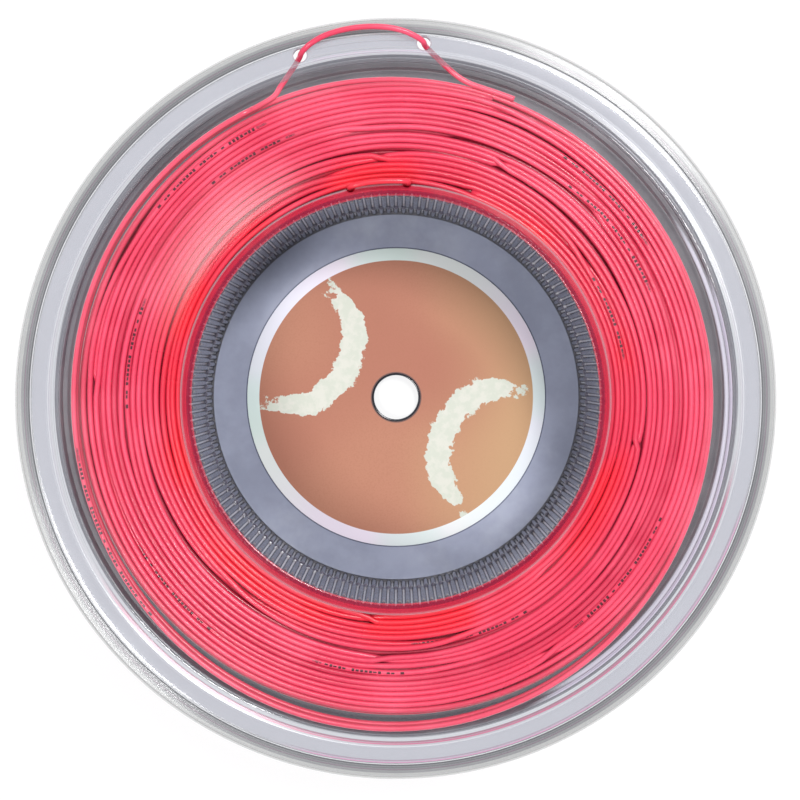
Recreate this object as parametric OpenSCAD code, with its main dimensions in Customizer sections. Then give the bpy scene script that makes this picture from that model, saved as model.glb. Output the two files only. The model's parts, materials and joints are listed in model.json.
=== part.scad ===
// String reel: two clear flanges on a ribbed hub, wound with one long racket string.
// Millimetres, +Z up. The reel lies on its rear rim with its axis on Z, front flange on top.
// The origin is on the axis, on the plane that the rear rim rests on.

/* [Reel] */
// Outside diameter of both flanges
reel_d = 160; // [150:1:190]
// Overall width, from the rear rim to the front rim
reel_w = 41; // [34:0.5:46]

/* [Flanges] */
// Thickness of the flange plates
plate_t = 1.6; // [1.2:0.1:2.2]
// Width of the rounded lip outside the flat band
lip_w = 3.6; // [3:0.1:4.4]
// How far the lip sits back from the flat band
lip_drop = 0.5; // [0.3:0.1:0.8]
// Radius of the bead that ends the lip
bead_r = 1.1; // [0.9:0.1:1.3]
// Width of the flat band that the reel rests on
band_w = 3.5; // [3.2:0.1:4.4]
// Width of the sloping step inside the band
step_w = 2; // [1.2:0.1:3]
// How far the band stands out from the plate
band_rise = 1; // [0.6:0.1:1.4]

/* [Hub] */
// Outside diameter of the two hub sleeves
hub_d = 88.6; // [76:0.2:92]
// Wall of a sleeve at the bottom of its grooves
sleeve_wall = 1; // [0.8:0.1:1.4]
// Radius of one rib inside a sleeve
rib_r = 0.62; // [0.45:0.01:0.66]
// Number of ribs round the inside of each sleeve
rib_count = 158; // [100:2:160]
// Height of the seam between the sleeves above the rear rim
seam_z = 15; // [12:0.5:20]
// Wall of the rear sleeve's collar, which laps over the seam
collar_t = 0.6; // [0.4:0.1:0.8]
// How far the collar reaches to each side of the seam
collar_reach = 4; // [2:0.5:6]
// Depth of the seat in the front flange that holds the front sleeve
seat_depth = 0.8; // [0.4:0.1:1]
// How far the web stands up inside the rear sleeve
web_rise = 0.4; // [0.2:0.1:0.8]
// Diameter of the spindle bore through the web
bore_d = 10.3; // [8:0.1:14]

/* [Label] */
// Outside diameter of the round label
label_d = 69.4; // [50:0.2:72]
// Diameter of the hole in the label
label_hole_d = 11.3; // [10.6:0.1:14.6]
// Thickness of the label
label_t = 0.2; // [0.1:0.05:0.4]

/* [String] */
// Diameter of the string
string_d = 1.23; // [1.1:0.01:1.4]
// Bare height of the rim above the outer layer of string
rim_margin = 12.4; // [10.5:0.1:16]
// Least pitch of the turns in the outer layer, and the pitch of those against the flanges
least_pitch = 1.65; // [1.65:0.01:1.9]
// How far the loose last turn stands off the layer at the bottom
slack = 3.2; // [0:0.1:3.4]
// How far the loose last turn stands off at the upper left
side_slack = 1.6; // [0:0.1:2]

/* [Tie holes] */
// Diameter of the two tie holes in the rim band
rim_tie_d = 2.8; // [2.2:0.1:3]
// Direction of the middle between the rim's tie holes
rim_tie_angle = 95.5; // [90:0.5:100]
// Angle between the rim's tie holes
rim_tie_spread = 20; // [18:0.5:24]
// Diameter of the two tie holes beside the hub
hub_tie_d = 2; // [1.8:0.1:2.2]
// Direction of the middle between the hub's tie holes
hub_tie_angle = 94.5; // [90:0.5:100]
// Angle between the hub's tie holes
hub_tie_spread = 15; // [14:0.5:18]

/* [Fits] */
// Radial clearance where one moulding plugs into another
fit_clear = 0.1; // [0.05:0.01:0.2]
// Clearance between the wound string and the reel
lay_clear = 0.15; // [0.1:0.01:0.3]
// Clearance between the outer layer and the core under it
layer_clear = 0.3; // [0.2:0.05:0.4]

/* [Hidden] */
clear_plastic = [0.84, 0.86, 0.90, 0.45];
smoky_plastic = [0.45, 0.47, 0.53, 0.60];
string_pink = [0.93, 0.28, 0.38];
label_orange = [0.79, 0.55, 0.44];
round_fn = 180; // facets of the large circles, before the exact rebuild
small_fn = 32; // facets of the small circles
through = 1; // how far a cutter runs past what it cuts

// Rim, from the edge inwards
rim_r = reel_d / 2;
band_out = rim_r - lip_w;
band_in = band_out - band_w;
step_in = band_in - step_w;
band_top = plate_t + band_rise; // height of the band over the plate's inner face
lip_top = band_top - lip_drop;
rear_inner_z = band_top; // inner face of the rear plate
front_inner_z = reel_w - band_top; // inner face of the front plate

// Hub
hub_r = hub_d / 2;
groove_r = hub_r - sleeve_wall;
crest_r = groove_r - rib_r; // the ribs' inner crests
mouth_r = crest_r + 2 * fit_clear; // opening of the front flange
seat_r = hub_r + fit_clear;
web_r = crest_r - fit_clear;
web_z = rear_inner_z + web_rise; // face of the web inside the hub
sleeve_top = front_inner_z + seat_depth;

// Winding
string_r = string_d / 2;
core_in = hub_r + fit_clear + collar_t + lay_clear;
winding_r = rim_r - rim_margin;
turn_rings = 24;
turn_sides = 6;
turn_r = winding_r - string_r; // centre line of the outer layer, at its rings
core_r = turn_r * cos(180 / turn_rings) - string_r - layer_clear;
core_z0 = rear_inner_z + lay_clear;
core_z1 = front_inner_z - lay_clear;
edge_room = 0.2; // beside the first and last turns
turn_z0 = core_z0 + string_r + edge_room;
turn_z1 = core_z1 - string_r - edge_room;
turns = min(24, floor((turn_z1 - turn_z0) / least_pitch));
last_turn_angle = rim_tie_angle + 1.025 * rim_tie_spread; // where the layer runs out into the tail
loose_turns = 1.7; // how many of the last turns stand loose
before_last = 0.8; // how far the turn before the last one stands off, as a share of the last one
slack_angle = 265; // direction in which the slack at the bottom is widest
slack_reach = 95; // angle to each side over which it dies out
side_angle = 140; // the same two for the slack at the upper left
side_reach = 120;
dive_r = 1.1; // bend of the first turn where it dives into the core
dive_steps = 4;
end_run = string_d; // straight run at both ends of the layer
pocket_depth = core_r - (turn_r - dive_r - end_run);
face_turns = (core_r - core_in - string_d) / least_pitch - 1; // of the gap in each face of the core
face_steps = 36; // straight steps in one of these turns

// Tie holes
rim_tie_r = (band_in + band_out) / 2;
hub_tie_r = hub_r + fit_clear + lay_clear + hub_tie_d / 2 + 0.05;
cord_sides = 8;

// Steps of a tied end of the string: [direction, distance, height]. Direction is a share of half
// the holes' spread, from their middle. Distance is -1 at the end of the layer, 0 on the circle
// of the holes, and millimetres beyond it. Height is in millimetres under the flange plate,
// a share of it from 0 to 1, and millimetres over it beyond 1.

// The free end, out through the left tie hole of the rim and back in through the right one
tail_steps = [
    [1.64, -0.91, -1], [1.48, -0.7, -0.9], [1.31, -0.46, -0.8], [1.16, -0.24, -0.4],
    [1.06, -0.09, 0.15], [1.01, -0.02, 0.54], [0.98, 0.2, 0.96], [0.91, 0.7, 2],
    [0.77, 1.5, 2.7], [0.54, 2.4, 2.9], [0.24, 2.9, 3], [-0.07, 3, 3],
    [-0.39, 2.7, 3], [-0.66, 2, 2.8], [-0.87, 1, 2.3], [-0.98, 0.3, 1.4],
    [-1.01, -0.01, 0.73], [-1.03, -0.04, 0.35], [-1.1, -0.14, 0], [-1.24, -0.34, -0.6],
    [-1.42, -0.58, -1], [-1.62, -0.81, -1.2], [-1.85, -0.96, -1.3], [-2.12, -1.01, -1.3],
    [-2.41, -1.02, -1.3], [-2.7, -1.02, -1.3]
];
tail_gap = 0.2; // between the end of the outer layer and the tail
tail_lead = 1.3; // straight run of the tail before its first step

// The inner end, out through the left tie hole of the hub and back in through the right one
start_steps = [
    [1.02, 0, -0.1], [1.02, 0, 0.75], [1.02, 0, 1.6], [0.93, 0, 2.4],
    [0.75, 0, 2.8], [0.37, 0.1, 2.9], [-0.03, 0.1, 2.9], [-0.43, 0.1, 2.8],
    [-0.8, 0.1, 2.6], [-0.98, 0.1, 2.1], [-1.04, 0, 1.3], [-1.04, 0, 0.62],
    [-1.04, 0, -0.1]
];

// ---------- vectors and sweeps ----------

function unit(v) = v / norm(v);
function polar(r, a, z = 0) = [r * cos(a), r * sin(a), z];
function flatten(v) = [for (a = v) for (b = a) b];

// Direction of a path at its point i
function heading(p, i) = unit(p[min(i + 1, len(p) - 1)] - p[max(i - 1, 0)]);

// Turns a side vector as little as a path's bends allow, from its first point to its last
function carried_sides(t, first) = [
    for (i = 0, u = unit(cross(cross(t[0], first), t[0]));
         i < len(t);
         u = unit(u - (u * t[min(i + 1, len(t) - 1)]) * t[min(i + 1, len(t) - 1)]), i = i + 1) u
];

// Middle point between p[i] and p[i + 1] on a smooth curve through all points
function midway(p, i) =
    let (a = p[max(i - 1, 0)], b = p[i], c = p[i + 1], d = p[min(i + 2, len(p) - 1)])
    (9 * (b + c) - a - d) / 16;

// A path with one smooth point added in each of its inner gaps; both ends stay straight
function refined(p) = let (n = len(p)) flatten([
    for (i = [0:n - 1])
        i > 0 && i < n - 2 ? [p[i], midway(p, i)] : [p[i]]
]);

// One unbroken tube along a path, with flat ends and triangular faces
module tube(path, r, sides, first_side) {
    n = len(path);
    t = [for (i = [0:n - 1]) heading(path, i)];
    u = carried_sides(t, first_side);
    points = flatten([
        for (i = [0:n - 1]) let (v = cross(t[i], u[i]))
            [for (k = [0:sides - 1]) path[i] + r * (cos(k * 360 / sides) * u[i] + sin(k * 360 / sides) * v)]
    ]);
    walls = flatten(flatten([
        for (i = [0:n - 2]) [
            for (k = [0:sides - 1])
                let (a = i * sides + k, b = i * sides + (k + 1) % sides, c = b + sides, d = a + sides)
                [[a, d, c], [a, c, b]]
        ]
    ]));
    near_end = [for (k = [1:sides - 2]) [0, k, k + 1]];
    last = (n - 1) * sides;
    far_end = [for (k = [1:sides - 2]) [last, last + k + 1, last + k]];
    polyhedron(points = points, faces = concat(walls, near_end, far_end));
}

// ---------- flanges ----------

// Cross-section [r, z] of the stepped rim, from its inner face round to its outer face.
// z is measured outwards from the plate's inner face.
rim_outline = [
    [step_in, 0], [band_in, band_rise], [band_out, band_rise],
    [band_out + lip_drop, lip_top - plate_t], [rim_r - bead_r, lip_top - plate_t],
    [rim_r - bead_r, lip_top], [band_out + lip_drop, lip_top], [band_out, band_top],
    [band_in, band_top], [step_in, plate_t]
];

module flange(centre_outline) {
    rotate_extrude($fn = round_fn) {
        polygon(concat(centre_outline, rim_outline));
        translate([rim_r - bead_r, lip_top - bead_r]) circle(r = bead_r, $fn = small_fn);
    }
}

module tie_holes(r, d, angle, spread) {
    for (side = [-1, 1])
        translate(polar(r, angle + side * spread / 2, front_inner_z - through))
            cylinder(h = band_top + 2 * through, d = d, $fn = small_fn);
}

module front_flange() {
    color(clear_plastic) difference() {
        translate([0, 0, front_inner_z])
            flange([[mouth_r, plate_t], [mouth_r, seat_depth], [seat_r, seat_depth], [seat_r, 0]]);
        tie_holes(rim_tie_r, rim_tie_d, rim_tie_angle, rim_tie_spread);
        tie_holes(hub_tie_r, hub_tie_d, hub_tie_angle, hub_tie_spread);
    }
}

module rear_flange() {
    color(clear_plastic) translate([0, 0, rear_inner_z]) mirror([0, 0, 1])
        flange([[bore_d / 2, plate_t], [bore_d / 2, -web_rise], [web_r, -web_rise], [web_r, 0]]);
}

// ---------- hub ----------

// Ring with round ribs all along its inner wall, as seen along the axis
module ribbed_ring(phase) {
    difference() {
        circle(r = hub_r, $fn = round_fn);
        circle(r = groove_r, $fn = round_fn);
    }
    for (i = [0:rib_count - 1])
        rotate(phase + i * 360 / rib_count) translate([groove_r, 0]) circle(r = rib_r, $fn = small_fn);
}

module rear_hub_sleeve() {
    color(smoky_plastic) {
        translate([0, 0, rear_inner_z]) linear_extrude(seam_z - rear_inner_z) ribbed_ring(0);
        rotate_extrude($fn = round_fn) polygon([
            [hub_r - sleeve_wall / 2, seam_z - collar_reach], [hub_r, seam_z - collar_reach],
            [seat_r + collar_t, seam_z - collar_reach + collar_t],
            [seat_r + collar_t, seam_z + collar_reach], [seat_r, seam_z + collar_reach],
            [seat_r, seam_z], [hub_r - sleeve_wall / 2, seam_z]
        ]);
    }
}

module front_hub_sleeve() {
    color(smoky_plastic)
        translate([0, 0, seam_z]) linear_extrude(sleeve_top - seam_z)
            ribbed_ring(180 / rib_count);
}

// ---------- label ----------

module label() {
    color(label_orange) translate([0, 0, web_z]) difference() {
        cylinder(h = label_t, d = label_d, $fn = round_fn);
        translate([0, 0, -through])
            cylinder(h = label_t + 2 * through, d = label_hole_d, $fn = small_fn);
    }
}

// ---------- string ----------

// One edge of the gap between the turns that lie against a flange, from the radius r outwards.
// The turns spiral out clockwise from the hub's right tie hole.
function gap_edge(r) = [
    for (i = [0:floor(face_turns * face_steps)])
        let (s = i / face_steps, a = hub_tie_angle - hub_tie_spread / 2 - 360 * s)
        (r + least_pitch * s) * [cos(a), sin(a)]
];

module face_gap() {
    inner = gap_edge(core_in + string_d);
    outer = gap_edge(core_in + least_pitch);
    linear_extrude(string_r + through)
        polygon(concat(inner, [for (i = [len(outer) - 1:-1:0]) outer[i]]));
}

// The packed layers under the outer one. Their turns show on both faces, parted by a gap of half
// the string's depth, and the outer layer rises from a pocket.
module winding_core() {
    color(string_pink) difference() {
        rotate_extrude($fn = round_fn)
            translate([core_in, core_z0]) square([core_r - core_in, core_z1 - core_z0]);
        translate([0, 0, core_z0 - through]) face_gap();
        translate([0, 0, core_z1 - string_r]) face_gap();
        rotate([0, 0, last_turn_angle])
            translate([core_r - pocket_depth, dive_r - string_d, turn_z0 - string_d])
                cube([pocket_depth + through, 2 * string_d, 2 * string_d]);
    }
}

// Height of the outer layer's centre line after a share of its turns
function turn_z(s) = turn_z0 + (turn_z1 - turn_z0) * s / turns;

// A smooth hump of height 1, at a = 0, that ends at half to each side
function hump(a, half) = abs(a) < half ? pow(cos(90 * a / half), 2) : 0;

// How far the last turn stands off in the direction a
function loose_at(a) =
    slack * hump(a - slack_angle, slack_reach) + side_slack * hump(a - side_angle, side_reach);

// How far the layer stands off with u turns still to come
function slack_at(u) = loose_at((last_turn_angle + 360 * u) % 360)
    * (u > loose_turns ? 0 : u > loose_turns - 1 ? before_last : 1);

// The layer's turns run clockwise as seen from the front, from the rear flange to the front one
layer_turns = [
    for (i = [0:turns * turn_rings])
        let (s = i / turn_rings)
        polar(turn_r + slack_at(turns - s), last_turn_angle - 360 * s, turn_z(s))
];

// The first turn rises out of the core: a straight radial run, then a bend into the turn
layer_dive = let (
        out = polar(1, last_turn_angle),
        along = polar(1, last_turn_angle - 90),
        foot = polar(turn_r, last_turn_angle, turn_z0) - dive_r * along
    )
    concat(
        [foot - (dive_r + end_run) * out],
        [for (i = [0:dive_steps - 1]) let (a = 90 * i / dive_steps)
            foot - dive_r * (1 - sin(a)) * out + dive_r * (1 - cos(a)) * along]
    );

// The last turn ends in a straight, level run, which the tail carries on from
layer_way = let (n = len(layer_turns), way = layer_turns[n - 1] - layer_turns[n - 2])
    unit([way[0], way[1], 0]);
layer_end = layer_turns[len(layer_turns) - 1] + end_run * layer_way;

layer_path = concat(layer_dive, layer_turns, [layer_end]);

module winding_outer_layer() {
    color(string_pink) tube(layer_path, string_r, turn_sides, [0, 0, 1]);
}

// Least distance between points of the layer that are at least half a turn apart
layer_gap = min([
    for (i = [0:len(layer_path) - 1])
        for (j = [i + turn_rings / 2:1:len(layer_path) - 1]) norm(layer_path[i] - layer_path[j])
]) - string_d;
echo(str("outer layer: ", turns, " turns, least gap to itself ", layer_gap, " mm"));  // winding_outer_layer

layer_end_r = norm([layer_end[0], layer_end[1]]);

// Height of a route step over the reel's base; t is the height of the plate it passes
function step_z(h, t) = front_inner_z + (h < 0 ? h : h > 1 ? t + h - 1 : h * t);

// Route through a pair of tie holes on a circle of radius r, by its steps
function tied_route(steps, r, angle, spread, t) = [
    for (s = steps)
        let (out = s[1] < 0 ? s[1] * (r - layer_end_r) : s[1])
        polar(r + out, angle + s[0] * spread / 2, step_z(s[2], t))
];

tail_route = let (from = layer_end + tail_gap * layer_way) concat(
    [from, from + tail_lead * layer_way],
    tied_route(tail_steps, rim_tie_r, rim_tie_angle, rim_tie_spread, band_top)
);
start_route = tied_route(start_steps, hub_tie_r, hub_tie_angle, hub_tie_spread, plate_t);

module string_tail() {
    color(string_pink) tube(refined(tail_route), string_r, cord_sides, [0, 0, 1]);
}

module string_start() {
    color(string_pink) tube(refined(start_route), string_r, cord_sides, [0, 1, 0]);
}

rear_flange();
front_flange();
rear_hub_sleeve();
front_hub_sleeve();
label();
winding_core();
winding_outer_layer();
string_tail();
string_start();
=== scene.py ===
import json
import math

import bmesh
import bpy
import numpy as np
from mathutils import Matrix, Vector

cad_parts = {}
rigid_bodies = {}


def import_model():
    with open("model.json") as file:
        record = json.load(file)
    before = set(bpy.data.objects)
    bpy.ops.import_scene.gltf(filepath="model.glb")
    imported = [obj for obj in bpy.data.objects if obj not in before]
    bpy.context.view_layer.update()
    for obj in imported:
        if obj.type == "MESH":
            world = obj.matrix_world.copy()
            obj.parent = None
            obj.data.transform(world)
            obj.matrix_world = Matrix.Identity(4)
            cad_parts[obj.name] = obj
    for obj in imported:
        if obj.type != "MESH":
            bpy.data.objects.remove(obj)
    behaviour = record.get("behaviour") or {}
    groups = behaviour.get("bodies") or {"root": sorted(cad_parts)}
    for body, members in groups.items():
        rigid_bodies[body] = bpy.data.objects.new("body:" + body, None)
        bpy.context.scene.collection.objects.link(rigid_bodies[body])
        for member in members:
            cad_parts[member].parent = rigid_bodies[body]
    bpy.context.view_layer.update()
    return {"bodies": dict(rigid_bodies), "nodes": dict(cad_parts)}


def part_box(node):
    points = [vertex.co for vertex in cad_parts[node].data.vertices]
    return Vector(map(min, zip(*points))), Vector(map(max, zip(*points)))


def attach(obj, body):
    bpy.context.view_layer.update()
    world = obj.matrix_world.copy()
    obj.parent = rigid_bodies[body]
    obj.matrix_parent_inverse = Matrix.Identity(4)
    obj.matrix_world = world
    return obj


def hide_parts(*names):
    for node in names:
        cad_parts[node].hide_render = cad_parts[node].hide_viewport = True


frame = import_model()
BODY = next(iter(frame["bodies"]))
MM = 0.001

# ---------------------------------------------------------------- sizes, in millimetres and degrees
REAR_IN = 2.6          # height of the rear plate's inner face
FRONT_IN = 38.4        # height of the front plate's inner face
SEAM_Z = 15.0          # height where the two hub sleeves meet
SLEEVE_TOP = 39.2      # height of the front sleeve's end, in a recess of the front flange
PLATE_T = 1.6          # outer face of a flange's plate over its inner face
STEP_H = 1.0           # inner face of the raised band over the plate's inner face
BAND_T = 2.6           # outer face of the raised band over the plate's inner face
STEP_R = 70.9          # where the sloping step starts
BAND_R = 72.9          # where the raised band starts
GROOVE_R = 76.4        # where the band ends at the groove
LIP_FOOT_R = 76.9      # where the rounded lip starts
LIP_R = 78.9           # centre of the lip's rounding
LIP_HALF = 1.1         # radius of the lip's rounding
BORE_R = 5.15          # spindle bore
WEB_R = 42.58          # edge of the rear flange's thicker web
FLANGE_STEPS = 288     # steps round a flange
RIBS = 158             # round ribs along each sleeve
RIM_TIE = (74.65, 95.5, 20.0)   # the tie holes in the band: radius, middle angle and angle between them
HUB_TIE = (45.6, 94.5, 15.0)    # the tie holes beside the hub, in the same way

STRING_R = 0.615       # half of the string's gauge
END_TUBE_R = 0.59      # the tied ends, drawn inside the box of their faceted solids
WOUND_R = 45.15        # outside of the hub, where the string starts
FACE_R = 66.55         # outermost middle line of the turns on the faces
FACE_TOP = FRONT_IN - 0.16 - STRING_R   # middle line of the turns nearest the flange
TURN_R = 66.985        # middle line of the outer layer
FRONT_STEPS = 168      # points a turn on the front face
REAR_STEPS = 120       # points a turn on the rear face
OUTER_STEPS = 144      # points a turn in the outer layer
OUTER_TURNS = 28


# ---------------------------------------------------------------- mesh helpers
def linked(name, data):
    """A new object in the scene, from a mesh, a lamp or a camera."""
    ob = bpy.data.objects.new(name, data)
    bpy.context.scene.collection.objects.link(ob)
    return ob


def mesh_object(name, verts, quads, tris=()):
    """A smooth mesh piece from points in millimetres and the faces between them."""
    verts = np.asarray(verts, np.float64) * MM
    quads = np.asarray(quads, np.int32).reshape(-1, 4)
    tris = np.asarray(tris, np.int32).reshape(-1, 3)
    corners = np.concatenate([quads.ravel(), tris.ravel()])
    starts = np.concatenate([np.arange(len(quads)) * 4, len(quads) * 4 + np.arange(len(tris)) * 3])
    mesh = bpy.data.meshes.new(name)
    mesh.vertices.add(len(verts))
    mesh.vertices.foreach_set("co", verts.astype(np.float32).ravel())
    mesh.loops.add(len(corners))
    mesh.loops.foreach_set("vertex_index", corners)
    mesh.polygons.add(len(starts))
    mesh.polygons.foreach_set("loop_start", starts.astype(np.int32))
    mesh.polygons.foreach_set("use_smooth", np.full(len(starts), True))
    mesh.update(calc_edges=True)
    mesh.validate()
    return linked(name, mesh)


def around(r, angle, z):
    """Points at radius r, angle in radians and height z, where any of the three may be an array."""
    x, y = r * np.cos(angle), r * np.sin(angle)
    return np.stack([x, y, np.broadcast_to(z, x.shape)], -1)


def closed_quads(rows, columns):
    """Faces between the points of a grid that closes on itself both ways."""
    i, k = np.meshgrid(np.arange(rows), np.arange(columns), indexing="ij")
    j, m = (i + 1) % rows, (k + 1) % columns
    corners = [i * columns + k, j * columns + k, j * columns + m, i * columns + m]
    return np.stack(corners, -1).reshape(-1, 4)


def lathe(name, outline, steps):
    """Turns a closed [r, z] outline round the axis."""
    r, z = np.asarray(outline, float).T
    turn = np.arange(steps) * 2 * np.pi / steps
    verts = around(r, turn[:, None], z)
    return mesh_object(name, verts.reshape(-1, 3), closed_quads(steps, len(r)))


def rounded(points):
    """An outline whose corners [r, z, radius] are rounded; a radius of 0 keeps the corner sharp."""
    nearly_straight = 1.55     # half angle over which a corner is left as it is
    most = 0.45                # share of a side that a rounding may take
    per_corner = 5             # points on each rounding
    out = []
    for i, (*_, radius) in enumerate(points):
        a, b, c = (np.array(points[k % len(points)][:2], float) for k in (i - 1, i, i + 1))
        u, v = (a - b) / np.linalg.norm(a - b), (c - b) / np.linalg.norm(c - b)
        half = math.acos(float(np.clip(u @ v, -1, 1))) / 2
        if radius <= 0 or half > nearly_straight:
            out.append(b)
            continue
        reach = min(radius / math.tan(half), most * np.linalg.norm(a - b), most * np.linalg.norm(c - b))
        for t in np.linspace(0, 1, per_corner):
            out.append((1 - t) ** 2 * (b + reach * u) + 2 * t * (1 - t) * b + t * t * (b + reach * v))
    return out


def carried_along(ahead):
    """Directions square to a path, which turn along it as little as they can."""
    first = np.array([0.0, 0, 1]) if abs(ahead[0][2]) < 0.9 else np.array([0.0, 1, 0])
    lift = np.zeros_like(ahead)
    v = first - (first @ ahead[0]) * ahead[0]
    for i, t in enumerate(ahead):
        v = v - (v @ t) * t
        v /= np.linalg.norm(v)
        lift[i] = v
    return lift


def tube_arrays(path, radius, sides, up):
    """Points, quads, cap triangles and height on the tube's own round, of a tube along a path.
    up is the direction that its first side is square to, or None to carry the sides along."""
    path = np.asarray(path, float)
    count = len(path)
    ahead = np.gradient(path, axis=0)
    ahead /= np.linalg.norm(ahead, axis=1)[:, None]
    if up is None:
        lift = carried_along(ahead)
        side = np.cross(ahead, lift)
    else:
        side = np.cross(ahead, np.asarray(up, float))
        side /= np.linalg.norm(side, axis=1)[:, None]
        lift = np.cross(side, ahead)
    turn = np.arange(sides) * 2 * np.pi / sides
    spokes = (np.cos(turn)[None, :, None] * side[:, None, :]
              + np.sin(turn)[None, :, None] * lift[:, None, :])
    verts = path[:, None, :] + radius * spokes
    i, k = np.meshgrid(np.arange(count - 1), np.arange(sides), indexing="ij")
    m = (k + 1) % sides
    quads = np.stack([i * sides + k, i * sides + m, (i + 1) * sides + m, (i + 1) * sides + k], -1)
    last = (count - 1) * sides
    caps = [[0, k + 1, k] for k in range(1, sides - 1)]
    caps += [[last, last + k, last + k + 1] for k in range(1, sides - 1)]
    return verts.reshape(-1, 3), quads.reshape(-1, 4), np.array(caps), np.tile(np.sin(turn), count)


class Strands:
    """Several tubes gathered into one piece, with the attributes that its material reads."""

    def __init__(self):
        self.verts, self.quads, self.tris = [], [], []
        self.values = {"up": [], "tone": [], "ink": [], "deep": []}
        self.count = 0

    def add(self, path, tone, ink=None, deep=0.0, radius=STRING_R, sides=8, up=(0, 0, 1)):
        """Adds a tube. tone and ink have a value for each point of the path; the next value, the painted
        shade of a deeper layer, is one value for all, and up is as tube_arrays takes it."""
        verts, quads, caps, height = tube_arrays(path, radius, sides, up)
        self.verts.append(verts)
        self.quads.append(quads + self.count)
        self.tris.append(caps + self.count)
        self.count += len(verts)
        self.values["up"].append(height)
        self.values["tone"].append(np.repeat(tone, sides))
        self.values["ink"].append(np.repeat(np.full(len(path), -1.0) if ink is None else ink, sides))
        self.values["deep"].append(np.full(len(path) * sides, deep))

    def build(self, name):
        """The piece with all its tubes."""
        ob = mesh_object(name, *(np.concatenate(part) for part in (self.verts, self.quads, self.tris)))
        for key, value in self.values.items():
            attribute = ob.data.attributes.new(key, "FLOAT", "POINT")
            attribute.data.foreach_set("value", np.concatenate(value).astype(np.float32))
        return ob


def add_piece(ob, material, node):
    """Gives a piece its material and its slot, lets it ride, and has it stand for a CAD node."""
    ob.data.materials.append(material)
    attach(ob, BODY)
    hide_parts(node)


# ---------------------------------------------------------------- node helpers
class Nodes:
    """A new material's node tree, with a short call for each kind of node."""

    def __init__(self, name):
        self.material = bpy.data.materials.new(name)
        self.material.use_nodes = True
        self.tree = self.material.node_tree
        self.tree.nodes.clear()
        self.out = self.tree.nodes.new("ShaderNodeOutputMaterial")

    def put(self, socket, value):
        """Links a socket or a node's first output, or sets a plain value."""
        if isinstance(value, bpy.types.NodeSocket):
            self.tree.links.new(value, socket)
        elif hasattr(value, "outputs"):
            self.tree.links.new(value.outputs[0], socket)
        else:
            socket.default_value = value

    def new(self, kind, **settings):
        """A node with its inputs, written with _ for a space, and its own properties."""
        node = self.tree.nodes.new(kind)
        for key, value in settings.items():
            socket = key.replace("_", " ")
            if socket in node.inputs.keys():
                self.put(node.inputs[socket], value)
            else:
                setattr(node, key, value)
        return node

    def math(self, operation, a, b=0.0, clamp=False):
        """One operation on one or two values."""
        node = self.new("ShaderNodeMath", operation=operation, use_clamp=clamp)
        self.put(node.inputs[0], a)
        self.put(node.inputs[1], b)
        return node.outputs[0]

    def times(self, first, *others):
        """The product of two or more values."""
        for other in others:
            first = self.math("MULTIPLY", first, other)
        return first

    def plus(self, a, b):
        """a + b."""
        return self.math("ADD", a, b)

    def minus(self, a, b):
        """a - b."""
        return self.math("SUBTRACT", a, b)

    def away(self, value, middle):
        """How far a value is from a middle, either way."""
        return self.math("ABSOLUTE", self.minus(value, middle))

    def span(self, value, lo, hi, to_lo=0.0, to_hi=1.0, shape="SMOOTHSTEP"):
        """to_lo up to lo, to_hi from hi on, and a smooth or LINEAR change between them."""
        node = self.new("ShaderNodeMapRange", interpolation_type=shape, clamp=True, Value=value,
                        From_Min=lo, From_Max=hi, To_Min=to_lo, To_Max=to_hi)
        return node.outputs[0]

    def mix(self, share, a, b, kind="RGBA"):
        """From a to b by a share: colours, or numbers where kind is FLOAT."""
        first, out = {"RGBA": (6, 2), "FLOAT": (2, 0)}[kind]
        node = self.new("ShaderNodeMix", data_type=kind)
        for index, value in ((0, share), (first, a), (first + 1, b)):
            self.put(node.inputs[index], value)
        return node.outputs[out]

    def mix_shaders(self, share, a, b):
        """From shader a to shader b by a share."""
        node = self.new("ShaderNodeMixShader")
        for index, value in enumerate((share, a, b)):
            self.put(node.inputs[index], value)
        return node

    def measure(self):
        """Sets at, x, y and z, the object-space coordinates, and r, the radius from the axis, in metres."""
        self.at = self.new("ShaderNodeTexCoord").outputs["Object"]
        self.x, self.y, self.z = self.new("ShaderNodeSeparateXYZ", Vector=self.at).outputs
        self.r = self.math("SQRT", self.plus(self.times(self.x, self.x), self.times(self.y, self.y)))

    def angle(self):
        """The angle round the axis from +X, in radians."""
        return self.math("ARCTAN2", self.y, self.x)

    def noise(self, vector, scale, detail=2.0, rough=0.5):
        """Noise from 0 to 1."""
        node = self.new("ShaderNodeTexNoise", Vector=vector, Scale=scale, Detail=detail, Roughness=rough)
        return node.outputs["Fac"]

    def bump(self, height, strength, distance):
        """A relief for a shader's Normal."""
        return self.new("ShaderNodeBump", Strength=strength, Distance=distance, Height=height)

    def attribute(self, name):
        """A value that the mesh carries."""
        return self.new("ShaderNodeAttribute", attribute_name=name).outputs["Fac"]

    def plastic(self, colour, roughness, **settings):
        """A Principled shader."""
        return self.new("ShaderNodeBsdfPrincipled", Base_Color=colour, Roughness=roughness, **settings)

    def surface(self, shader):
        """Ends the tree in a shader, and returns the material."""
        self.put(self.out.inputs["Surface"], shader)
        return self.material


def srgb(r, g, b):
    """A colour written as it shows, 0 to 255, as Blender's linear values."""
    def linear(c):
        c /= 255
        return c / 12.92 if c <= 0.04045 else ((c + 0.055) / 1.055) ** 2.4
    return linear(r), linear(g), linear(b), 1.0


# ---------------------------------------------------------------- clear plastic of the flanges
PLASTIC_IOR = 1.49
WHITE = (255, 255, 255)


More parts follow.
